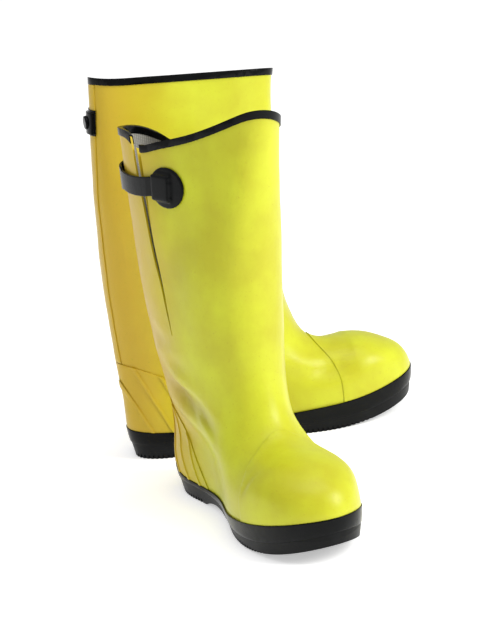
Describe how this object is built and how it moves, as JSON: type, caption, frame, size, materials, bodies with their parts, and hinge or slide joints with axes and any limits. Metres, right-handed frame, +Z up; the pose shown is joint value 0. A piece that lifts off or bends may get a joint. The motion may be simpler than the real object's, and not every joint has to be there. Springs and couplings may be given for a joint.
{
  "type": "pair of rubber boots",
  "caption": "Pair of tall pull-on rubber boots with dark cleated soles, a folded side gusset and a snap strap at the top.",
  "frame": {"origin": "centre of the pair's bounding box, on the floor", "axes": "+X is the left boot's toe, +Y is the left boot's side, +Z is up; the right boot's toe is turned out towards -Y"},
  "size_m": [0.3435, 0.4934, 0.4357],
  "materials": {
    "yellow_rubber": "semi-gloss hand laid rubber",
    "black_rubber": "glossy",
    "tread_rubber": "satin",
    "lining_cloth": "knitted cotton bonded to the rubber",
    "insole_foam": "felt",
    "filler_foam": "sponge rubber",
    "snap_metal": "black oxide finish"
  },
  "bodies": {
    "right_boot": {"right_outsole": "tread_rubber", "right_heel_block": "tread_rubber", "right_foxing": "black_rubber", "right_upper": "yellow_rubber", "right_gusset": "yellow_rubber", "right_top_binding": "black_rubber", "right_back_stay": "yellow_rubber", "right_heel_counter": "yellow_rubber", "right_toe_cap": "yellow_rubber", "right_lining": "lining_cloth", "right_filler_sole": "filler_foam", "right_insole": "insole_foam", "right_strap_root": "black_rubber", "right_strap_patch": "black_rubber", "right_button_patch": "black_rubber", "right_snap_stud": "snap_metal"},
    "left_boot": {"left_outsole": "tread_rubber", "left_heel_block": "tread_rubber", "left_foxing": "black_rubber", "left_upper": "yellow_rubber", "left_gusset": "yellow_rubber", "left_top_binding": "black_rubber", "left_back_stay": "yellow_rubber", "left_heel_counter": "yellow_rubber", "left_toe_cap": "yellow_rubber", "left_lining": "lining_cloth", "left_filler_sole": "filler_foam", "left_insole": "insole_foam", "left_strap_root": "black_rubber", "left_strap_patch": "black_rubber", "left_button_patch": "black_rubber", "left_snap_stud": "snap_metal"},
    "right_strap": {"right_strap": "black_rubber", "right_snap_cap": "snap_metal"},
    "left_strap": {"left_strap": "black_rubber", "left_snap_cap": "snap_metal"}
  },
  "joints": [
    {"name": "left_boot_lift", "type": "slide", "parent": "right_boot", "child": "left_boot", "axis": [0, 0, 1], "range_m": [0, 0.5]},
    {"name": "right_strap_hinge", "type": "hinge", "parent": "right_boot", "child": "right_strap", "pos_m": [-0.1479, -0.01272, 0.35], "axis": [0, 0, 1], "range_deg": [0, 90]},
    {"name": "left_strap_hinge", "type": "hinge", "parent": "left_boot", "child": "left_strap", "pos_m": [-0.0871, 0.22742, 0.383], "axis": [0, 0, -1], "range_deg": [0, 90]}
  ]
}
